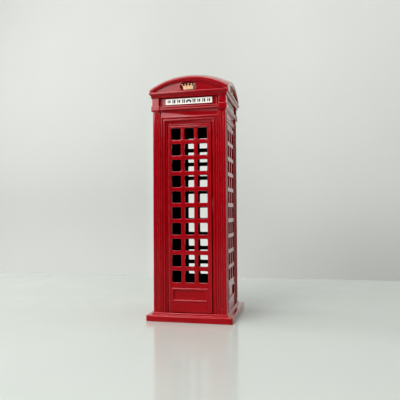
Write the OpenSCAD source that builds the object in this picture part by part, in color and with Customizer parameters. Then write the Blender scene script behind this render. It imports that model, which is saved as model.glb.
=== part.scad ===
// A table-top die-cast telephone booth. Millimetres, X to the right, Y into the depth, Z up.
// The origin is the centre of the resting face, and the door is on the -Y side.
// Walls and the parts on them are drawn as the front one and turned about Z to the other sides.
// A "level" is a distance from the booth's upright centre line to a face.

/* [Plinth] */
// Width and depth of the square plinth
plinth_w = 50; // [49:0.5:56]
// Height of the plinth's outer slab
plinth_h = 3.4; // [3:0.1:5]
// Height of the low step that the walls stand on
step_h = 1.3; // [1:0.1:2]

/* [Body] */
// Width and depth over the corner pilasters
body_w = 42.8; // [42.6:0.1:43.2]
// Depth of the sign recess and the door face below the pilaster face
relief = 0.7; // [0.6:0.05:0.8]

/* [Windows] */
// Rows of openings in each side
window_rows = 10; // [6:1:12]
// Width of one opening
window_w = 5.5; // [5.2:0.1:5.5]
// Height of one opening
window_h = 6.7; // [5.5:0.05:7]
// Width of an upright glazing bar
bar_w = 2.25; // [2:0.05:2.35]
// Height of a cross bar
bar_h = 2.4; // [2:0.05:3]
// Corner radius of an opening
window_r = 0.7; // [0.4:0.05:1]

/* [Door] */
// Gap between the door leaf and its jambs
door_gap = 0.3; // [0.25:0.05:0.35]
// Radial clearance of a hinge pin in the leaf
pin_play = 0.05; // [0.02:0.01:0.08]

/* [Roof] */
// Width and depth over the cornice
roof_w = 46.6; // [46:0.2:48]
// Height of the cornice moulding
cornice_h = 3.1; // [2.6:0.1:3.6]
// Rise of each arch from its ends to its crown
arch_rise = 6.8; // [6:0.2:8]

/* [Hidden] */
$fn = 64;
eps = 0.5;
seam = 0.01;
fit_gap = 0.02;
slip_gap = 0.05;

// Window grid
columns = 3;
col_pitch = window_w + bar_w;
row_pitch = window_h + bar_h;
grid_half = (columns * col_pitch - bar_w) / 2;
wall_z0 = plinth_h + step_h;
dado_h = 17.1;
grid_z0 = wall_z0 + dado_h;
grid_z1 = grid_z0 + window_rows * row_pitch - bar_h;

// Levels
face = body_w / 2;
core = face - relief;
wall_in = face - 2.8;
groove = core - 0.4;
sign_floor = core - 0.3;
bead_out = core + 0.35;
inner_bead_out = core + 0.25;
arch_out = core + 0.55;
inner_arch_out = core + 0.4;
block_out = face + 0.4;
capital_out = face + 0.8;

// Door leaf and the moulded frames round it
stile_w = 2.5;
top_rail_h = 2.3;
leaf_lift = 0.25;
leaf_half = grid_half + stile_w;
leaf_z0 = wall_z0 + leaf_lift;
leaf_z1 = grid_z1 + top_rail_h;
leaf_in = wall_in + 0.1;
leaf_bead_w = 0.75;
leaf_bead_step = 1.15;
groove_w = 1.3;
groove_h = 2.1;
arch_bead_w = 0.8;
arch_bead_step = 1.6;
arch_half = leaf_half + groove_w + arch_bead_step + arch_bead_w;
arch_z1 = leaf_z1 + groove_h + arch_bead_step + arch_bead_w;
panel_half = grid_half;
panel_z0 = wall_z0 + 6.2;
panel_z1 = wall_z0 + 13.8;
panel_bead_w = 0.9;
panel_sink = 0.45;

// Bands above the door
band_z0 = leaf_z1 + 8.1;
band_h = 2.5;
band_bead_r = 0.62;
sign_z0 = band_z0 + band_h;
wall_z1 = sign_z0 + 4.9;
pilaster_in = face - 4.4;
flute_r = 0.45;
flute_x = [face - 3.3, face - 2];
flute_end = 2.6;
block_in = pilaster_in + 0.5;
capital_inset = 0.2;
capital_drop = 0.3;
capital_rise = 0.3;
strip_w = 0.7;
strip_gap = 0.2;

// Sign plates
sign_half = 13.75;
sign_h = 3.4;
sign_t = 0.6;
sign_rise = 0.85;
sign_r = 0.3;

// Door pivot, at the left-hand jamb
nose_r = 1.45;
nose_gap = 0.15;
pivot_x = -(leaf_half - nose_r);
pivot_level = bead_out - nose_r;
pin_r = 0.4;
pin_grip = 3;
upper_pin_z0 = leaf_z1 - pin_grip;
upper_pin_z1 = leaf_z1 + pin_grip;
lower_pin_z0 = 1.8;
lower_pin_z1 = leaf_z0 + pin_grip;

// Door stop and the bowed catch spring in the right-hand jamb
stop_in = wall_in - 1.1;
stop_lap = 0.8;
stop_outer = leaf_half + 1.5;
stop_top_h = 1.5;
catch_z = (grid_z0 + grid_z1) / 2;
catch_half = 4.5;
catch_t = 0.3;
catch_bow = 0.4;
catch_w = 1;
catch_level = leaf_in + 0.3;
catch_r = (catch_half * catch_half + catch_bow * catch_bow) / (2 * catch_bow);
catch_x = leaf_half + slip_gap;
pocket_depth = 0.5;
pocket_end = 0.3;
pocket_side = 0.1;

// Base plate and pad, sunk in the underside
recess_half = plinth_w / 2 - 4;
recess_r = 2;
recess_h = 1.7;
plate_t = 0.8;
plate_z0 = recess_h - plate_t;
pad_z0 = 0.2;
edge_gap = 0.3;
step_lip = 0.7;

// Screws
screw_r = 0.8;
screw_head_r = 1.5;
screw_head_h = 0.6;
screw_hole_r = screw_r + fit_gap;
cross_w = 0.4;
cross_l = 1.8;
cross_d = 0.35;
boss_r = 2.3;
base_screw_at = [face - 5.8, face - 5];
base_boss_h = 8.3;
base_screw_l = plinth_h + step_h - recess_h + plate_t + 6;
roof_screw_at = [11, face - 5.5];
lug_z0 = sign_z0 - 3.9;
lug_h = 2.5;
lug_half = 2.3;
roof_boss_r = 2.2;
roof_screw_l = lug_h + 6;

// Rib on the plinth and skirt under the roof, which hold the walls in line
rib_half = 9;
rib_out = wall_in - slip_gap;
rib_t = 1.2;
rib_h = 2.5;
skirt_h = 3;

// Roof
roof_half = roof_w / 2;
cornice_lip = 0.3;
gable = roof_half - cornice_lip;
cornice_z1 = wall_z1 + cornice_h;
arch_foot = 1.3;
arch_r = (gable * gable + arch_rise * arch_rise) / (2 * arch_rise);
dome_r = sqrt(arch_r * arch_r + gable * gable);
dome_z = cornice_z1 + arch_foot + arch_rise - arch_r;
dome_t = 1.6;
dome_fn = 128;
cap_r = 90;
cap_edge = 0.85 * gable;
cap_z = dome_z + sqrt(dome_r * dome_r - cap_edge * cap_edge)
        - sqrt(cap_r * cap_r - cap_edge * cap_edge);
hood_w = 1.2;
hood_step = 0.35;
hood_in_w = 1.1;
tympanum = gable - 1.1;
cavity_half = gable - 2.9;
cavity_z0 = wall_z1 + 1.2;
boss_top = cornice_z1 - 1;

// Crown badge and the oval it sits in
oval_w = 9.2;
oval_h = 5;
oval_sink = 0.3;
oval_rim_w = 0.45;
oval_rim_t = 0.3;
crown_z = cornice_z1 + 2.9;
crown_half = 3.1;
crown_band_h = 0.9;
crown_t = 0.55;
crown_peg_r = 0.5;
crown_peg_l = 0.8;
crown_points = 5;
crown_low = 1.4;
crown_high = 2.9;
crown_ball_r = 0.36;
crown_flare = 0.5;
crown_lean = 0.15;
crown_droop = 0.12;
crown_lip = 0.2;

// ---- shared shapes ----

// A box from x0 to x1 and z0 to z1, between two levels on the front side
module slab(x0, x1, z0, z1, level0, level1) {
    translate([x0, -level1, z0])
        cube([x1 - x0, level1 - level0, z1 - z0]);
}

module both_sides() {
    children();
    mirror([1, 0, 0]) children();
}

module four_corners(at) {
    for (sx = [-1, 1])
        for (sy = [-1, 1])
            translate([sx * at[0], sy * at[1], 0]) children();
}

// A rectangle with true round corners, centred
module round_rect(w, h, r) {
    square([w - 2 * r, h], center = true);
    square([w, h - 2 * r], center = true);
    for (sx = [-1, 1])
        for (sy = [-1, 1])
            translate([sx * (w / 2 - r), sy * (h / 2 - r)]) circle(r = r);
}

// A flat outline in X and Z, thickened outwards from level0 to level1
module raise(level0, level1) {
    translate([0, -level0, 0])
        rotate([90, 0, 0])
            linear_extrude(level1 - level0) children();
}

// A block whose four sides share one upright profile, given as [half width, height] points
module moulded_block(profile) {
    n = len(profile);
    outline = [for (i = [0 : 2 * n - 1])
        i < n ? profile[i] : [-profile[2 * n - 1 - i][0], profile[2 * n - 1 - i][1]]];
    intersection() {
        rotate([90, 0, 0])
            linear_extrude(plinth_w + 2, center = true) polygon(outline);
        rotate([90, 0, 90])
            linear_extrude(plinth_w + 2, center = true) polygon(outline);
    }
}

// A pan-head screw pointing up, with the underside of its head at the origin
module screw(length) {
    difference() {
        union() {
            translate([0, 0, -screw_head_h])
                cylinder(h = screw_head_h, r = screw_head_r);
            translate([0, 0, -screw_head_h / 2])
                cylinder(h = length + screw_head_h / 2, r = screw_r);
        }
        for (turn = [0, 90])
            rotate([0, 0, turn])
                translate([-cross_l / 2, -cross_w / 2, -screw_head_h - eps])
                    cube([cross_l, cross_w, cross_d + eps]);
    }
}

// ---- plinth and base ----

module plinth() {
    chamfer = 0.35;
    corner_r = 1;
    step_half = face + step_lip;
    color("crimson")
    difference() {
        union() {
            intersection() {
                moulded_block([[plinth_w / 2, 0],
                               [plinth_w / 2, plinth_h - chamfer],
                               [plinth_w / 2 - chamfer, plinth_h]]);
                linear_extrude(plinth_h + eps)
                    round_rect(plinth_w, plinth_w, corner_r);
            }
            moulded_block([[step_half, plinth_h - eps],
                           [step_half, wall_z0 - chamfer],
                           [step_half - chamfer, wall_z0]]);
            for (turn = [0 : 90 : 270])
                rotate([0, 0, turn])
                    slab(-rib_half, rib_half, wall_z0 - eps, wall_z0 + rib_h,
                         rib_out - rib_t, rib_out);
        }
        translate([0, 0, -eps])
            linear_extrude(recess_h + eps)
                round_rect(2 * recess_half, 2 * recess_half, recess_r);
        four_corners(base_screw_at)
            cylinder(h = wall_z0 + eps, r = screw_hole_r);
        translate([pivot_x, -pivot_level, lower_pin_z0])
            cylinder(h = wall_z0, r = pin_r + seam);
    }
}

module base_plate() {
    half = recess_half - edge_gap;
    color("silver")
    difference() {
        translate([0, 0, plate_z0])
            linear_extrude(plate_t)
                round_rect(2 * half, 2 * half, recess_r);
        four_corners(base_screw_at)
            cylinder(h = wall_z0, r = screw_hole_r);
    }
}

module base_pad() {
    half = recess_half - 2 * edge_gap;
    color("dimgray")
    difference() {
        translate([0, 0, pad_z0])
            linear_extrude(plate_z0 - pad_z0)
                round_rect(2 * half, 2 * half, recess_r);
        four_corners(base_screw_at)
            cylinder(h = wall_z0, r = screw_head_r + edge_gap);
    }
}

module base_screws() {
    color("gainsboro")
    four_corners(base_screw_at)
        translate([0, 0, plate_z0]) screw(base_screw_l);
}

// ---- walls ----

// The quarter of the plan that one wall may fill, so that walls meet in corner mitres
module mitre() {
    reach = face + 3;
    translate([0, 0, wall_z0 - eps])
        linear_extrude(wall_z1 - wall_z0 + 2 * eps)
            polygon([[0, -seam], [reach, -reach - seam], [-reach, -reach - seam]]);
}

module window_holes(level0, level1) {
    raise(level0, level1)
        for (c = [0 : columns - 1])
            for (r = [0 : window_rows - 1])
                translate([(c - (columns - 1) / 2) * col_pitch,
                           grid_z0 + window_h / 2 + r * row_pitch])
                    round_rect(window_w, window_h, window_r);
}

// One raised bead that runs up, over and down, like a door frame
module frame_bead(half, z0, z1, width, level) {
    difference() {
        slab(-half, half, z0, z1, core - eps, level);
        slab(-half + width, half - width, z0 - eps, z1 - width, core - 2 * eps, level + eps);
    }
}

// The mouldings on the face of a door, real or cast in
module leaf_relief(z0) {
    frame_bead(leaf_half, z0, leaf_z1, leaf_bead_w, bead_out);
    frame_bead(leaf_half - leaf_bead_step, z0, leaf_z1 - leaf_bead_step,
               leaf_bead_w, inner_bead_out);
    slab(-panel_half, panel_half, panel_z0, panel_z1, core - eps, bead_out);
}

module panel_recess() {
    slab(-panel_half + panel_bead_w, panel_half - panel_bead_w,
         panel_z0 + panel_bead_w, panel_z1 - panel_bead_w,
         core - panel_sink, face);
}

// Pilaster, capital and sign block at the right-hand corner
module corner_order() {
    slab(pilaster_in, face + 1, wall_z0, band_z0, wall_in, face);
    slab(pilaster_in + capital_inset, face + 1, band_z0 - capital_drop,
         sign_z0 + capital_rise, wall_in, capital_out);
    slab(block_in, face + 1, sign_z0 - eps, wall_z1, wall_in, block_out);
    slab(pilaster_in - strip_gap - strip_w, pilaster_in - strip_gap, sign_z0, wall_z1,
         wall_in, core);
}

module flutes() {
    for (x = flute_x)
        translate([x, -face - 0.1, wall_z0 + flute_end])
            cylinder(h = band_z0 - wall_z0 - 2 * flute_end, r = flute_r);
}

module band_beads() {
    for (z = [band_z0 + band_bead_r, sign_z0 - band_bead_r])
        translate([-face, -face, z])
            rotate([0, 90, 0])
                cylinder(h = 2 * face, r = band_bead_r);
}

// The full height of one wall, without its door face
module wall_body() {
    difference() {
        intersection() {
            union() {
                slab(-face, face, wall_z0, sign_z0, wall_in, core);
                slab(-face, face, sign_z0 - eps, wall_z1, wall_in, sign_floor);
                slab(-face, face, band_z0, sign_z0, wall_in, face);
                band_beads();
                both_sides() corner_order();
                frame_bead(arch_half, wall_z0, arch_z1, arch_bead_w, arch_out);
                frame_bead(arch_half - arch_bead_step, wall_z0, arch_z1 - arch_bead_step,
                           arch_bead_w, inner_arch_out);
            }
            mitre();
        }
        both_sides() flutes();
    }
}

// The dark groove that outlines the door
module groove_cut() {
    half = leaf_half + groove_w;
    difference() {
        slab(-half, half, wall_z0 - eps, leaf_z1 + groove_h, groove, face + 1);
        slab(-leaf_half, leaf_half, wall_z0 - 2 * eps, leaf_z1, groove - eps, face + 2);
    }
}

module fixed_wall() {
    difference() {
        union() {
            difference() {
                wall_body();
                groove_cut();
            }
            leaf_relief(wall_z0);
        }
        panel_recess();
        window_holes(wall_in - eps, face);
    }
}

// Boss for a base screw and lug for a roof screw, inside the right-hand corner
module corner_fixings() {
    difference() {
        union() {
            translate([base_screw_at[0], -base_screw_at[1], wall_z0])
                cylinder(h = base_boss_h, r = boss_r);
            slab(roof_screw_at[0] - lug_half, roof_screw_at[0] + lug_half,
                 lug_z0, lug_z0 + lug_h, roof_screw_at[1] - lug_half, wall_in + eps);
        }
        translate([base_screw_at[0], -base_screw_at[1], wall_z0 - eps])
            cylinder(h = base_boss_h - 1, r = screw_hole_r);
        translate([roof_screw_at[0], -roof_screw_at[1], lug_z0 - eps])
            cylinder(h = lug_h + 2 * eps, r = screw_hole_r);
    }
}

module front_wall() {
    jamb = leaf_half + door_gap;
    head = leaf_z1 + door_gap;
    color("crimson")
    difference() {
        union() {
            difference() {
                wall_body();
                groove_cut();
            }
            slab(-stop_outer, stop_outer, wall_z0, head + stop_top_h, stop_in, wall_in + eps);
            both_sides() corner_fixings();
        }
        slab(-leaf_half - nose_gap, jamb, wall_z0 - eps, head, leaf_in - slip_gap, face + 1);
        slab(-jamb, leaf_half - stop_lap, wall_z0 - eps, head - stop_lap - door_gap,
             stop_in - eps, wall_in + 1);
        slab(-jamb, pivot_x + nose_r + door_gap, wall_z0 - eps, head,
             stop_in - eps, wall_in + 1);
        translate([pivot_x, -pivot_level, head - eps])
            cylinder(h = upper_pin_z1 - head + eps + slip_gap, r = pin_r + seam);
        slab(jamb - eps, jamb + pocket_depth,
             catch_z - catch_half - pocket_end, catch_z + catch_half + pocket_end,
             catch_level - pocket_side, catch_level + catch_w + pocket_side);
    }
}

module back_wall() {
    color("crimson")
    rotate([0, 0, 180]) {
        fixed_wall();
        both_sides() corner_fixings();
    }
}

module right_wall() {
    color("crimson") rotate([0, 0, 90]) fixed_wall();
}

module left_wall() {
    color("crimson") rotate([0, 0, 270]) fixed_wall();
}

// ---- door ----

// Everything in front of and right of the hinge nose, plus the round nose itself
module leaf_outline() {
    height = leaf_z1 - leaf_z0;
    slab(pivot_x, leaf_half + 1, leaf_z0, leaf_z1, leaf_in, face + 1);
    intersection() {
        translate([pivot_x, -pivot_level, leaf_z0])
            cylinder(h = height, r = nose_r);
        slab(-leaf_half - 1, pivot_x + eps, leaf_z0, leaf_z1, leaf_in, face + 1);
    }
}

module door_leaf() {
    color("crimson")
    difference() {
        intersection() {
            union() {
                slab(-leaf_half, leaf_half, leaf_z0, leaf_z1, leaf_in, core);
                leaf_relief(leaf_z0);
            }
            leaf_outline();
        }
        panel_recess();
        window_holes(leaf_in - eps, face);
        for (z = [leaf_z0 - eps, leaf_z1 - pin_grip - slip_gap])
            translate([pivot_x, -pivot_level, z])
                cylinder(h = pin_grip + slip_gap + eps, r = pin_r + pin_play);
    }
}

module hinge_pin(z0, z1) {
    color("silver")
    translate([pivot_x, -pivot_level, z0])
        cylinder(h = z1 - z0, r = pin_r);
}

module upper_hinge_pin() {
    hinge_pin(upper_pin_z0, upper_pin_z1);
}

module lower_hinge_pin() {
    hinge_pin(lower_pin_z0, lower_pin_z1);
}

module door_catch_spring() {
    color("silver")
    intersection() {
        translate([catch_x + catch_r, -catch_level, catch_z])
            rotate([90, 0, 0])
                difference() {
                    cylinder(h = catch_w, r = catch_r);
                    translate([0, 0, -eps])
                        cylinder(h = catch_w + 2 * eps, r = catch_r - catch_t);
                }
        slab(leaf_half, leaf_half + 2, catch_z - catch_half, catch_z + catch_half,
             wall_in, face);
    }
}

// ---- roof ----

module cornice() {
    lip = 1.2;
    fillet = 0.8;
    turn_steps = 6;
    z_low = wall_z1 + fillet;
    z_high = cornice_z1 - lip;
    low = block_out + 0.5;
    sweep = [for (i = [0 : turn_steps])
        [low + (roof_half - low) * (1 - cos(90 * i / turn_steps)),
         z_low + (z_high - z_low) * sin(90 * i / turn_steps)]];
    moulded_block(concat([[low, wall_z1]], sweep, [[roof_half, cornice_z1]]));
}

module square_post(half, z0, z1) {
    translate([-half, -half, z0])
        cube([2 * half, 2 * half, z1 - z0]);
}

// The flat panel under one arch, set back behind two stepped hood beads
module tympanum_cut() {
    half = gable - hood_w - hood_in_w;
    raise(tympanum, roof_half + 1)
        intersection() {
            translate([0, dome_z]) circle(r = arch_r - hood_w - hood_in_w);
            translate([-half, cornice_z1]) square([2 * half, arch_rise + arch_foot]);
        }
    raise(gable - hood_step, roof_half + 1)
        intersection() {
            translate([0, dome_z]) circle(r = arch_r - hood_w);
            translate([-half - hood_in_w, cornice_z1])
                square([2 * (half + hood_in_w), arch_rise + arch_foot]);
        }
}

module oval(margin) {
    h = oval_h + 2 * margin;
    translate([0, crown_z]) round_rect(oval_w + 2 * margin, h, h / 2 - seam);
}

// The raised rim round the sunk oval that the crown sits in
module oval_rim() {
    raise(tympanum - eps, tympanum + oval_rim_t)
        difference() {
            oval(oval_rim_w);
            oval(0);
        }
}

// The dome: steep at the rim, where it meets the four arches, and flatter inside that
module dome_form(inset) {
    intersection() {
        translate([0, 0, dome_z]) sphere(r = dome_r - inset, $fn = dome_fn);
        translate([0, 0, cap_z]) sphere(r = cap_r - inset, $fn = dome_fn);
    }
}

module roof_shell() {
    top = cornice_z1 + dome_r;
    difference() {
        union() {
            cornice();
            intersection() {
                square_post(gable, cornice_z1 - eps, top);
                dome_form(0);
            }
            square_post(rib_out, wall_z1 - skirt_h, wall_z1 + eps);
        }
        square_post(rib_out - rib_t, wall_z1 - skirt_h - eps, cornice_z1);
        intersection() {
            square_post(cavity_half, cavity_z0, top);
            dome_form(dome_t);
        }
    }
}

module roof() {
    boss_z0 = lug_z0 + lug_h;
    color("crimson")
    difference() {
        union() {
            difference() {
                roof_shell();
                for (turn = [0 : 90 : 270])
                    rotate([0, 0, turn]) tympanum_cut();
            }
            for (turn = [0 : 90 : 270])
                rotate([0, 0, turn]) oval_rim();
            four_corners(roof_screw_at)
                translate([0, 0, boss_z0])
                    cylinder(h = boss_top - boss_z0, r = roof_boss_r);
        }
        for (turn = [0 : 90 : 270])
            rotate([0, 0, turn]) {
                raise(tympanum - oval_sink, tympanum + eps) oval(0);
                translate([0, -tympanum + oval_sink + crown_peg_l + slip_gap, crown_z])
                    rotate([90, 0, 0])
                        cylinder(h = crown_peg_l + slip_gap + eps, r = crown_peg_r + fit_gap);
            }
        four_corners(roof_screw_at)
            translate([0, 0, boss_z0 - eps])
                cylinder(h = roof_screw_l - lug_h + 1, r = screw_hole_r);
    }
}

module roof_screws() {
    color("gainsboro")
    four_corners(roof_screw_at)
        translate([0, 0, lug_z0]) screw(roof_screw_l);
}

// ---- signs and crowns ----

module sign_plate() {
    z = sign_z0 + sign_rise + sign_h / 2;
    color("white")
    raise(sign_floor, sign_floor + sign_t)
        translate([0, z]) round_rect(2 * sign_half, sign_h, sign_r);
}

// An open crown: a band, five points and a ball on each point
module crown_outline() {
    half = crown_half;
    step = 2 * half / (crown_points - 1);
    low_z = -crown_high / 2 - crown_lip;
    tips = [for (i = [0 : crown_points - 1]) let (x = -half + i * step)
        [x * (1 + crown_lean), low_z + crown_high - abs(x) * crown_droop]];
    valleys = [for (i = [0 : crown_points - 2])
        [-half + (i + 0.5) * step, low_z + crown_low]];
    zigzag = [for (i = [0 : 2 * crown_points - 2])
        i % 2 == 0 ? tips[i / 2] : valleys[(i - 1) / 2]];
    base_half = half - crown_flare;
    polygon(concat([[-base_half, low_z]], zigzag, [[base_half, low_z]]));
    translate([-base_half - crown_lip, low_z - crown_band_h / 2])
        square([2 * (base_half + crown_lip), crown_band_h]);
    for (tip = tips)
        translate(tip) circle(r = crown_ball_r);
}

module crown_badge() {
    back = tympanum - oval_sink;
    color("gold")
    union() {
        raise(back, back + crown_t)
            translate([0, crown_z]) crown_outline();
        translate([0, -back + crown_peg_l, crown_z])
            rotate([90, 0, 0])
                cylinder(h = crown_peg_l + crown_t / 2, r = crown_peg_r);
    }
}

module front_sign() {
    sign_plate();
}

module back_sign() {
    rotate([0, 0, 180]) sign_plate();
}

module left_sign() {
    rotate([0, 0, 270]) sign_plate();
}

module right_sign() {
    rotate([0, 0, 90]) sign_plate();
}

module front_crown() {
    crown_badge();
}

module back_crown() {
    rotate([0, 0, 180]) crown_badge();
}

module left_crown() {
    rotate([0, 0, 270]) crown_badge();
}

module right_crown() {
    rotate([0, 0, 90]) crown_badge();
}

plinth();
base_plate();
base_pad();
base_screws();
front_wall();
back_wall();
left_wall();
right_wall();
door_leaf();
upper_hinge_pin();
lower_hinge_pin();
door_catch_spring();
roof();
roof_screws();
front_sign();
back_sign();
left_sign();
right_sign();
front_crown();
back_crown();
left_crown();
right_crown();
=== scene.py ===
"""Looks for a table-top die-cast telephone booth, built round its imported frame.

Units are metres in the frame's own axes: X to the right, Y into the depth, Z up, door on the -Y side.
"""
import math

import bmesh
import bpy
from mathutils import Matrix, Vector


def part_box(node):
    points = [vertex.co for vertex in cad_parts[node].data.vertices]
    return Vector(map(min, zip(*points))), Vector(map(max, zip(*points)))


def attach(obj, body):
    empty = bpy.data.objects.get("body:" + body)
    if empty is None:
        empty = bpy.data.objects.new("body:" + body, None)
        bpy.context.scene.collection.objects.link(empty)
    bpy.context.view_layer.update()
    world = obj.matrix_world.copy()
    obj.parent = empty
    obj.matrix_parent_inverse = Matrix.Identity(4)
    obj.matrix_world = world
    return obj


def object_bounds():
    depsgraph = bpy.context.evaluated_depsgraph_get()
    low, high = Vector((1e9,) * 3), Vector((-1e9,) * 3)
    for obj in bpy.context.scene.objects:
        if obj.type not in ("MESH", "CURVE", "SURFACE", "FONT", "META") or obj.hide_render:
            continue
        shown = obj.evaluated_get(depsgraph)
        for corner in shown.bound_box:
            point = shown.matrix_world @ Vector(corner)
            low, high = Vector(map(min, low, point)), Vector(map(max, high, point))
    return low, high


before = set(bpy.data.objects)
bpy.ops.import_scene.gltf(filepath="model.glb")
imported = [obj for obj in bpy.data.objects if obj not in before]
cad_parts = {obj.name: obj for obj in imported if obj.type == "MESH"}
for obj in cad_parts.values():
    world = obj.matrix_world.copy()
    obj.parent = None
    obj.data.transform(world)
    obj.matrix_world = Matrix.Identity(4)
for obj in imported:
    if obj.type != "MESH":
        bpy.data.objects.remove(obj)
cad_low, cad_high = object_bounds()

MM = 0.001
SHELL = "shell"
CASTINGS = ["plinth", "front_wall", "back_wall", "left_wall", "right_wall", "door_leaf", "roof"]
SIDES = {"front": 0, "right": 90, "back": 180, "left": 270}
CROWN_THICK = 0.55 * MM
CASTING_ROUND, FOOT_ROUND = 0.18 * MM, 0.25 * MM
SIGN_ROUND, CROWN_ROUND, PIN_ROUND = 0.06 * MM, 0.07 * MM, 0.05 * MM
SHEET_ROUND, PAD_ROUND = 0.1 * MM, 0.12 * MM
INK_SINK, INK_RISE = 0.01 * MM, 0.03 * MM
GROUND_DEPTH = 0.1 * MM

# The room, in metres. The patch of painted light on the wall, seen through the booth, lies round
# BEHIND_BOOTH_X.
TABLE_REACH, TABLE_FAR = 0.6, 0.165
WALL_REACH, WALL_FAR, WALL_DROP = 1.2, 0.4, 0.3
BEHIND_BOOTH_X = -0.104

# The sky's strength rises from the third number to the fourth between the first two heights on its
# unit sphere. The camera sees SEEN_SKY instead.
SKY_RISE = (0.30, 0.75, 0.06, 0.8)
SEEN_SKY = 0.62

# Soft boxes: name, place in metres, width and height in metres, watts.
LIGHTS = [
    ("key_left", (-0.52, -0.42, 0.50), (0.45, 0.45), 2.5),
    ("fill_right", (0.45, 0.12, 0.45), (0.3, 0.3), 0.5),
    ("haze_left", (-0.345, -0.855, 0.58), (0.27, 0.62), 3.5),
    ("haze_high", (-0.15, -0.40, 0.85), (0.3, 0.5), 2.6),
    ("overhead", (-0.12, -0.02, 0.72), (0.24, 0.24), 0.4),
    ("strip_left", (-0.60, 0.02, 0.30), (0.15, 0.4), 2.0),
]

# The camera's place in metres, its yaw, pitch and roll in degrees, and its lens.
CAMERA_PLACE = (0.06428, -0.28374, 0.06179)
CAMERA_TURN = (12.45, 1.5, -0.38)
LENS_MM, SENSOR_MM = 42.65, 36


# ---- node materials ----

class Nodes:
    """Adds shader nodes to one material, and links any input that is given as a socket."""

    def __init__(self, name):
        self.material = bpy.data.materials.new(name)
        self.material.use_nodes = True
        self.tree = self.material.node_tree
        self.tree.nodes.clear()

    def add(self, kind, inputs=None, **settings):
        node = self.tree.nodes.new(kind)
        for key, value in settings.items():
            setattr(node, key, value)
        for key, value in (inputs or {}).items():
            if isinstance(value, bpy.types.NodeSocket):
                self.tree.links.new(value, node.inputs[key])
            else:
                node.inputs[key].default_value = value
        return node

    def place(self):
        """The object's own coordinates, which are the row frame at rest."""
        return self.add("ShaderNodeTexCoord").outputs["Object"]

    def split(self, vector):
        return self.add("ShaderNodeSeparateXYZ", {0: vector}).outputs

    def math(self, operation, a, b=0.0, clamp=False):
        node = self.add("ShaderNodeMath", {0: a, 1: b}, operation=operation, use_clamp=clamp)
        return node.outputs[0]

    def noise(self, feature, detail=3.0, rough=0.5, place=None):
        """Noise whose features are about this many metres across."""
        node = self.add("ShaderNodeTexNoise", {
            "Vector": place or self.place(), "Scale": 1 / feature, "Detail": detail, "Roughness": rough})
        return node.outputs["Fac"]

    def ramp(self, value, low, high, to_low=0.0, to_high=1.0):
        node = self.add("ShaderNodeMapRange", {
            "Value": value, "From Min": low, "From Max": high, "To Min": to_low, "To Max": to_high},
            interpolation_type="SMOOTHSTEP")
        return node.outputs[0]

    def blend(self, amount, a, b):
        node = self.add("ShaderNodeMix", data_type="RGBA")
        for index, value in ((0, amount), (6, a), (7, b)):
            if isinstance(value, bpy.types.NodeSocket):
                self.tree.links.new(value, node.inputs[index])
            else:
                node.inputs[index].default_value = value
        return node.outputs[2]

    def bump(self, height, depth, strength=1.0, below=None):
        inputs = {"Height": height, "Distance": depth, "Strength": strength}
        if below is not None:
            inputs["Normal"] = below
        return self.add("ShaderNodeBump", inputs).outputs["Normal"]

    def edges(self, radius):
        """1 close to an edge or a corner, 0 on the open face."""
        soft = self.add("ShaderNodeBevel", {"Radius": radius}, samples=4).outputs["Normal"]
        true = self.add("ShaderNodeNewGeometry").outputs["True Normal"]
        match = self.add("ShaderNodeVectorMath", {0: soft, 1: true}, operation="DOT_PRODUCT")
        return self.ramp(match.outputs["Value"], 0.995, 0.8)

    def rounded(self, radius):
        """The surface normal, bent over within this distance of an edge."""
        return self.add("ShaderNodeBevel", {"Radius": radius}, samples=8).outputs["Normal"]

    def one_sided(self, surface):
        """The same surface, left out where it is seen from behind."""
        clear = self.add("ShaderNodeBsdfTransparent").outputs[0]
        behind = self.add("ShaderNodeNewGeometry").outputs["Backfacing"]
        return self.add("ShaderNodeMixShader", {0: behind, 1: surface, 2: clear}).outputs[0]

    def finish(self, surface):
        self.add("ShaderNodeOutputMaterial", {"Surface": surface})
        return self.material


def rgba(red, green, blue):
    return (red, green, blue, 1.0)


def level_and_height(nodes):
    """The distance from the booth's upright centre line towards a side, and the height."""
    across, deep, height = nodes.split(nodes.place())
    level = nodes.math("MAXIMUM", nodes.math("ABSOLUTE", across), nodes.math("ABSOLUTE", deep))
    return level, height


def slope(nodes):
    """The upward part of the face's own normal."""
    return nodes.split(nodes.add("ShaderNodeNewGeometry").outputs["True Normal"])[2]


def inside_mask(nodes, dark_level, ceiling):
    """1 on the faces that look into the cabin: nearer the centre line than dark_level, and not on top."""
    level, height = level_and_height(nodes)
    wander = nodes.math("MULTIPLY", nodes.noise(2.5 * MM), 0.5 * MM)
    near = nodes.ramp(nodes.math("SUBTRACT", level, wander), dark_level + 1.2 * MM, dark_level + 0.1 * MM)
    top_face = nodes.math("MULTIPLY", nodes.ramp(slope(nodes), 0.5, 0.6),
                          nodes.ramp(height, ceiling, ceiling + MM))
    return nodes.math("MULTIPLY", near, nodes.math("SUBTRACT", 1.0, top_face, clamp=True))


def hollows(nodes, reach):
    """1 in grooves and inner corners that are about reach deep, 0 on open faces."""
    open_sky = nodes.add("ShaderNodeAmbientOcclusion", {"Distance": reach}, samples=6).outputs["AO"]
    return nodes.ramp(open_sky, 0.92, 0.5)


def ridges(nodes, reach):
    """1 along outer edges, over about reach, 0 on open faces and in inner corners."""
    solid = nodes.add("ShaderNodeAmbientOcclusion", {"Distance": reach}, samples=6, inside=True).outputs["AO"]
    return nodes.ramp(solid, 0.95, 0.55)


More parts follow.
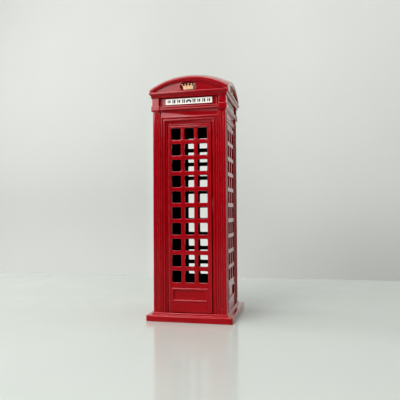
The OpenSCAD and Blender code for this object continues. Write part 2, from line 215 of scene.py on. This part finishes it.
def badge_ground(nodes, low, high, ceiling):
    """1 on the floor of the sunk ovals behind the crowns, which lies between two levels."""
    level, height = level_and_height(nodes)
    above = nodes.math("GREATER_THAN", level, low)
    between = nodes.math("MULTIPLY", above, nodes.math("LESS_THAN", level, high))
    upright = nodes.math("LESS_THAN", nodes.math("ABSOLUTE", slope(nodes)), 0.3)
    high_up = nodes.math("GREATER_THAN", height, ceiling)
    return nodes.math("MULTIPLY", between, nodes.math("MULTIPLY", upright, high_up))


def enamel_tone(nodes, inside, chip, ridge):
    """Red that varies over the casting, painted brighter in the grooves to lift their shade, with a painted
    pale highlight on the outer edges, chipped to the metal, and painted near-black shade inside.
    """
    tone = nodes.blend(nodes.ramp(nodes.noise(9 * MM, 2.0), 0.3, 0.7),
                       rgba(0.285, 0.0009, 0.0056), rgba(0.325, 0.0012, 0.0075))
    speckle = nodes.noise(1.3 * MM, 4.0, 0.6)
    tone = nodes.blend(nodes.math("MULTIPLY", nodes.ramp(speckle, 0.35, 0.75), 0.2),
                       tone, rgba(0.36, 0.002, 0.011))
    # Painted light: grooves and inner corners are coloured a brighter red to lift their shade.
    groove_fill_light = nodes.math("MULTIPLY", hollows(nodes, 0.5 * MM), 0.8)
    tone = nodes.blend(groove_fill_light, tone, rgba(0.56, 0.0022, 0.0130))
    # Painted highlight: the outer edges are coloured a pale pink, patchy with noise.
    edge_highlight = nodes.math("MULTIPLY", ridge, nodes.ramp(nodes.noise(3 * MM, 3.0), 0.3, 0.7, 0.15, 0.55))
    tone = nodes.blend(edge_highlight, tone, rgba(0.54, 0.13, 0.14))
    tone = nodes.blend(chip, tone, rgba(0.16, 0.12, 0.11))
    # Painted shade: the faces inside the cabin are coloured near-black.
    cabin_shade = nodes.blend(speckle, rgba(0.003, 0.003, 0.003), rgba(0.009, 0.008, 0.008))
    return nodes.blend(inside, tone, cabin_shade)


def enamel(name, dark_level, ceiling, ground=None):
    """Gloss red enamel over a casting, painted near-black inside as painted shade.

    The roof's sunk ovals, between the two ground levels, are coloured dark maroon.
    """
    nodes = Nodes(name)
    inside = inside_mask(nodes, dark_level, ceiling)
    outside = nodes.math("SUBTRACT", 1.0, inside, clamp=True)
    ridge = ridges(nodes, 0.3 * MM)
    flakes = nodes.ramp(nodes.noise(1.1 * MM, 4.0, 0.65), 0.76, 0.79)
    chip = nodes.math("MULTIPLY", nodes.edges(0.2 * MM), flakes)
    tone = enamel_tone(nodes, inside, chip, ridge)
    if ground:
        # The floor of the sunk ovals behind the crowns is coloured dark maroon.
        dark_oval_floor = badge_ground(nodes, ground[0], ground[1], ceiling)
        tone = nodes.blend(dark_oval_floor, tone, rgba(0.10, 0.006, 0.008))
    smear = nodes.ramp(nodes.noise(6 * MM, 4.0, 0.6), 0.35, 0.75, 0.12, 0.24)
    rough = nodes.math("ADD", nodes.math("MULTIPLY", inside, 0.6), smear)
    ripple = nodes.bump(nodes.noise(5 * MM, 2.0), 0.05 * MM, 0.5, nodes.rounded(0.35 * MM))
    peel = nodes.bump(nodes.noise(0.7 * MM, 2.0), 0.006 * MM, 0.5, ripple)
    facing = nodes.add("ShaderNodeLayerWeight", {"Blend": 0.5}).outputs["Facing"]
    coat = nodes.math("MULTIPLY", nodes.ramp(facing, 0.1, 0.7, 0.55, 1.0),
                      nodes.math("SUBTRACT", 1.0, nodes.math("MAXIMUM", inside, chip), clamp=True))
    shine = nodes.math("MULTIPLY", outside, nodes.ramp(ridge, 0.0, 1.0, 0.12, 0.7))
    shader = nodes.add("ShaderNodeBsdfPrincipled", {
        "Base Color": tone, "Roughness": rough, "Normal": peel, "Coat Normal": peel,
        "Specular IOR Level": shine, "Coat Weight": coat, "Coat Roughness": 0.1, "Coat IOR": 1.38})
    return nodes.finish(shader.outputs[0])


def steel(name, streak):
    """Zinc-plated steel with fine drawn lines along one axis and a dulled, blotchy plating."""
    nodes = Nodes(name)
    stretch = nodes.add("ShaderNodeMapping", {"Vector": nodes.place(), "Scale": streak})
    lines = nodes.noise(0.25 * MM, 3.0, 0.6, stretch.outputs[0])
    bloom = nodes.noise(4 * MM, 4.0, 0.6)
    tone = nodes.blend(nodes.ramp(bloom, 0.3, 0.7), rgba(0.42, 0.43, 0.45), rgba(0.6, 0.6, 0.6))
    tone = nodes.blend(nodes.math("MULTIPLY", nodes.edges(0.15 * MM), 0.5), tone, rgba(0.75, 0.74, 0.72))
    shader = nodes.add("ShaderNodeBsdfPrincipled", {
        "Base Color": tone, "Metallic": 1.0,
        "Roughness": nodes.ramp(lines, 0.3, 0.7, 0.24, 0.42),
        "Normal": nodes.bump(lines, 0.004 * MM, 0.6)})
    return nodes.finish(shader.outputs[0])


def foam(name):
    """Black closed-cell foam."""
    nodes = Nodes(name)
    cells = nodes.add("ShaderNodeTexVoronoi", {"Vector": nodes.place(), "Scale": 1 / (0.5 * MM)})
    tone = nodes.blend(nodes.noise(3 * MM), rgba(0.012, 0.012, 0.013), rgba(0.035, 0.034, 0.034))
    shader = nodes.add("ShaderNodeBsdfPrincipled", {
        "Base Color": tone, "Roughness": 0.9,
        "Normal": nodes.bump(cells.outputs["Distance"], 0.06 * MM, 0.7)})
    return nodes.finish(shader.outputs[0])


def sign_white(name):
    """White printed plate, a little yellowed towards its edges."""
    nodes = Nodes(name)
    tone = nodes.blend(nodes.ramp(nodes.noise(5 * MM, 3.0), 0.3, 0.7),
                       rgba(0.84, 0.79, 0.74), rgba(0.90, 0.85, 0.80))
    tone = nodes.blend(nodes.math("MULTIPLY", nodes.edges(0.25 * MM), 0.35), tone, rgba(0.55, 0.5, 0.42))
    shader = nodes.add("ShaderNodeBsdfPrincipled", {
        "Base Color": tone, "Roughness": nodes.ramp(nodes.noise(2 * MM), 0.3, 0.7, 0.3, 0.42),
        "Normal": nodes.bump(nodes.noise(0.6 * MM), 0.004 * MM, 0.5)})
    return nodes.finish(shader.outputs[0])


def ink(name):
    """Black printing ink that thins out in places."""
    nodes = Nodes(name)
    tone = nodes.blend(nodes.ramp(nodes.noise(0.5 * MM, 3.0), 0.45, 0.8),
                       rgba(0.012, 0.012, 0.014), rgba(0.08, 0.08, 0.08))
    shader = nodes.add("ShaderNodeBsdfPrincipled", {
        "Base Color": tone, "Roughness": 0.45,
        "Normal": nodes.bump(nodes.noise(0.3 * MM), 0.003 * MM, 0.5)})
    return nodes.finish(shader.outputs[0])


def gold(name):
    """Brushed-on pale gold paint, uneven in tone, with paler, thinner paint on the edges."""
    nodes = Nodes(name)
    tone = nodes.blend(nodes.ramp(nodes.noise(0.9 * MM, 4.0, 0.6), 0.3, 0.7),
                       rgba(0.40, 0.22, 0.11), rgba(0.66, 0.43, 0.26))
    tone = nodes.blend(nodes.math("MULTIPLY", nodes.edges(0.12 * MM), 0.6), tone, rgba(0.76, 0.56, 0.38))
    shader = nodes.add("ShaderNodeBsdfPrincipled", {
        "Base Color": tone, "Metallic": 0.45,
        "Roughness": nodes.ramp(nodes.noise(0.6 * MM), 0.3, 0.7, 0.32, 0.5),
        "Normal": nodes.bump(nodes.noise(0.35 * MM, 3.0), 0.012 * MM, 0.6)})
    return nodes.finish(shader.outputs[0])


def table_top(name):
    """Pale lacquer with a faint, soft reflection."""
    nodes = Nodes(name)
    tone = nodes.blend(nodes.noise(60 * MM), rgba(0.38, 0.405, 0.382), rgba(0.40, 0.425, 0.40))
    shader = nodes.add("ShaderNodeBsdfPrincipled", {
        "Base Color": tone, "Roughness": nodes.ramp(nodes.noise(20 * MM), 0.3, 0.7, 0.1, 0.16),
        "Normal": nodes.bump(nodes.noise(12 * MM), 0.01 * MM, 0.3)})
    return nodes.finish(nodes.one_sided(shader.outputs[0]))


def wall_paint(name):
    """Pale matt wall with painted light from its own emission: stronger at the lower left, stronger higher up
    at the right, and a brighter patch behind the booth.
    """
    nodes = Nodes(name)
    across, _, height = nodes.split(nodes.place())
    # Painted light: the wall's emission changes across and up the wall, with a brighter patch behind the
    # booth.
    left = nodes.ramp(height, -0.04, 0.10, 0.34, 0.09)
    right = nodes.ramp(height, -0.04, 0.12, 0.18, 0.27)
    aside = nodes.math("ABSOLUTE", nodes.math("SUBTRACT", across, BEHIND_BOOTH_X))
    patch = nodes.math("MULTIPLY", nodes.ramp(aside, 0.04, 0.07, 0.22, 0.0), nodes.ramp(height, 0.23, 0.17))
    painted_glow = nodes.math("ADD", nodes.ramp(across, -0.12, 0.08, left, right), patch)
    tone = nodes.blend(nodes.noise(80 * MM), rgba(0.46, 0.47, 0.45), rgba(0.48, 0.49, 0.47))
    shader = nodes.add("ShaderNodeBsdfPrincipled", {
        "Base Color": tone, "Roughness": 0.8, "Specular IOR Level": 0.2,
        "Emission Color": tone, "Emission Strength": painted_glow})
    return nodes.finish(nodes.one_sided(shader.outputs[0]))


# ---- carried-over CAD nodes ----

def paint(node, material):
    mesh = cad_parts[node].data
    mesh.materials.clear()
    mesh.materials.append(material)


def soften(node, width, angle=32):
    """Rounds a CAD node's edges as paint or a cast skin does, with modifiers only."""
    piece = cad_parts[node]
    weld = piece.modifiers.new("join_corners", "WELD")
    weld.merge_threshold = 0.002 * MM
    round_off = piece.modifiers.new("round_edges", "BEVEL")
    round_off.width = width
    round_off.segments = 2
    round_off.limit_method = "ANGLE"
    round_off.angle_limit = math.radians(angle)
    round_off.use_clamp_overlap = False
    round_off.loop_slide = False
    even = piece.modifiers.new("keep_faces_flat", "WEIGHTED_NORMAL")
    even.weight = 100
    for polygon in piece.data.polygons:
        polygon.use_smooth = True


# ---- new pieces ----

def flat_piece(name, outlines, level0, level1, turn, material):
    """Closed outlines in X and Z, thickened outwards from level0 to level1 and turned to one side."""
    mesh = bmesh.new()
    for outline in outlines:
        back = [mesh.verts.new((x, -level0, z)) for x, z in outline]
        front = [mesh.verts.new((x, -level1, z)) for x, z in outline]
        mesh.faces.new(front)
        mesh.faces.new(list(reversed(back)))
        for i in range(len(outline)):
            j = (i + 1) % len(outline)
            mesh.faces.new((back[i], back[j], front[j], front[i]))
    bmesh.ops.recalc_face_normals(mesh, faces=mesh.faces)
    bmesh.ops.transform(mesh, matrix=Matrix.Rotation(math.radians(turn), 4, "Z"), verts=mesh.verts)
    data = bpy.data.meshes.new(name)
    mesh.to_mesh(data)
    mesh.free()
    data.materials.append(material)
    piece = bpy.data.objects.new(name, data)
    bpy.context.scene.collection.objects.link(piece)
    return piece


def arc(centre, radius, start, end, steps):
    """Points along a circle's arc; the angles are in degrees."""
    points = []
    for i in range(steps + 1):
        angle = math.radians(start + (end - start) * i / steps)
        points.append((centre[0] + radius * math.cos(angle), centre[1] + radius * math.sin(angle)))
    return points


def bar_outline(x, z, width, height):
    """An upright mark with round ends."""
    half, straight = width / 2, height / 2 - width / 2
    return arc((x, z + straight), half, 0, 180, 8) + arc((x, z - straight), half, 180, 360, 8)


def flattened(points, level, factor):
    return [(x, level + (z - level) * factor) for x, z in points]


def handset_outline(x, z, width, height):
    """A plain telephone handset: two cups under a bowed grip."""
    cup = width * 0.16
    grip = width / 2 - cup
    bow = height * 0.55 / (width / 2)
    outer_z, inner_z, cup_z = z - height * 0.15, z - height * 0.2, z - height * 0.22
    outer = flattened(arc((x, outer_z), width / 2, 20, 160, 14), outer_z, bow)
    left = arc((x - grip, cup_z), cup, 150, 360, 8)
    inner = flattened(arc((x, inner_z), width / 2 - 2 * cup, 160, 20, 10), inner_z, bow * 0.55)
    right = arc((x + grip, cup_z), cup, 180, 390, 8)
    return outer + left + inner + right


def print_sign(side, turn, material):
    """A plain pictogram and a row of marks, printed on one sign plate."""
    low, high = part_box("front_sign")
    middle = (low.z + high.z) / 2
    level = -low.y
    width, height = high.x - low.x, high.z - low.z
    pitch = width / 9.6
    outlines = [handset_outline(0, middle, pitch * 1.15, height * 0.62)]
    for place in range(1, 5):
        for way in (-1, 1):
            x = way * (pitch * place + pitch * 0.08)
            tall = height * (0.62 if place % 2 else 0.5)
            outlines.append(bar_outline(x - pitch * 0.19, middle, pitch * 0.2, tall))
            outlines.append(bar_outline(x + pitch * 0.17, middle, pitch * 0.3, tall))
    piece = flat_piece(side + "_sign_print", outlines, level - INK_SINK, level + INK_RISE, turn, material)
    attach(piece, SHELL)


# ---- room, light and camera ----

def sheet(name, corners, material):
    data = bpy.data.meshes.new(name)
    data.from_pydata(corners, [], [(0, 1, 2, 3)])
    data.materials.append(material)
    piece = bpy.data.objects.new(name, data)
    bpy.context.scene.collection.objects.link(piece)
    return piece


def build_room():
    sheet("table", [(-TABLE_REACH, -TABLE_REACH, 0), (TABLE_REACH, -TABLE_REACH, 0),
                    (TABLE_REACH, TABLE_FAR, 0), (-TABLE_REACH, TABLE_FAR, 0)], table_top("table_lacquer"))
    sheet("wall", [(-WALL_REACH, WALL_FAR, -WALL_DROP), (WALL_REACH, WALL_FAR, -WALL_DROP),
                   (WALL_REACH, WALL_FAR, WALL_REACH), (-WALL_REACH, WALL_FAR, WALL_REACH)],
          wall_paint("wall_paint"))


def area_light(name, place, size, power):
    """A soft box that faces the middle of the booth."""
    data = bpy.data.lights.new(name, "AREA")
    data.shape = "RECTANGLE"
    data.size, data.size_y = size
    data.energy = power
    aim = (0, 0, cad_high.z / 2)
    light = bpy.data.objects.new(name, data)
    light.location = place
    light.rotation_euler = (Vector(aim) - Vector(place)).to_track_quat("-Z", "Y").to_euler()
    bpy.context.scene.collection.objects.link(light)


def build_world():
    """Bright overhead and dim below for all but the camera, so that upright faces mirror little."""
    world = bpy.data.worlds.new("studio")
    world.use_nodes = True
    tree = world.node_tree
    place = tree.nodes.new("ShaderNodeTexCoord")
    split = tree.nodes.new("ShaderNodeSeparateXYZ")
    rise = tree.nodes.new("ShaderNodeMapRange")
    rise.interpolation_type = "SMOOTHSTEP"
    for name, value in zip(("From Min", "From Max", "To Min", "To Max"), SKY_RISE):
        rise.inputs[name].default_value = value
    seen = tree.nodes.new("ShaderNodeLightPath")
    strength = tree.nodes.new("ShaderNodeMix")
    strength.inputs["B"].default_value = SEEN_SKY
    background = tree.nodes["Background"]
    background.inputs["Color"].default_value = rgba(0.97, 0.98, 0.95)
    tree.links.new(place.outputs["Generated"], split.inputs[0])
    tree.links.new(split.outputs["Z"], rise.inputs["Value"])
    tree.links.new(seen.outputs["Is Camera Ray"], strength.inputs["Factor"])
    tree.links.new(rise.outputs[0], strength.inputs["A"])
    tree.links.new(strength.outputs["Result"], background.inputs["Strength"])
    bpy.context.scene.world = world


def build_light():
    for name, place, size, power in LIGHTS:
        area_light(name, place, size, power)


def build_camera():
    """A camera a little right of the door and level with the booth's middle."""
    data = bpy.data.cameras.new("camera")
    data.lens = LENS_MM
    data.sensor_width = SENSOR_MM
    data.clip_start = 0.01
    camera = bpy.data.objects.new("camera", data)
    yaw, pitch, roll = (math.radians(angle) for angle in CAMERA_TURN)
    turn = (Matrix.Rotation(yaw, 4, "Z") @ Matrix.Rotation(math.pi / 2 + pitch, 4, "X")
            @ Matrix.Rotation(roll, 4, "Z"))
    camera.matrix_world = Matrix.Translation(CAMERA_PLACE) @ turn
    bpy.context.scene.collection.objects.link(camera)
    bpy.context.scene.camera = camera
    bpy.context.scene.view_settings.view_transform = "Standard"
    bpy.context.scene.view_settings.look = "Medium High Contrast"


# ---- the booth ----

def dress_castings():
    leaf_back = -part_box("door_leaf")[1].y
    wall_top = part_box("front_wall")[1].z
    ground = -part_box("front_crown")[0].y - CROWN_THICK
    red = enamel("red_enamel", leaf_back, wall_top + MM)
    roof_red = enamel("roof_enamel", leaf_back, wall_top + MM, (ground - GROUND_DEPTH, ground + GROUND_DEPTH))
    for node in CASTINGS:
        paint(node, roof_red if node == "roof" else red)
        soften(node, FOOT_ROUND if node == "plinth" else CASTING_ROUND)


def dress_fittings():
    drawn = steel("plated_steel", (1, 1, 0.15))
    rolled = steel("plated_sheet", (0.08, 1, 1))
    for node in ("upper_hinge_pin", "lower_hinge_pin", "door_catch_spring", "base_screws", "roof_screws"):
        paint(node, drawn)
        soften(node, PIN_ROUND)
    paint("base_plate", rolled)
    soften("base_plate", SHEET_ROUND)
    paint("base_pad", foam("pad_foam"))
    soften("base_pad", PAD_ROUND)


def dress_signs():
    white, black, pale_gold = sign_white("sign_white"), ink("sign_ink"), gold("gold_paint")
    for side, turn in SIDES.items():
        paint(side + "_sign", white)
        soften(side + "_sign", SIGN_ROUND)
        print_sign(side, turn, black)
        paint(side + "_crown", pale_gold)
        soften(side + "_crown", CROWN_ROUND)


def main():
    dress_castings()
    dress_fittings()
    dress_signs()
    build_room()
    build_world()
    build_light()
    build_camera()


main()
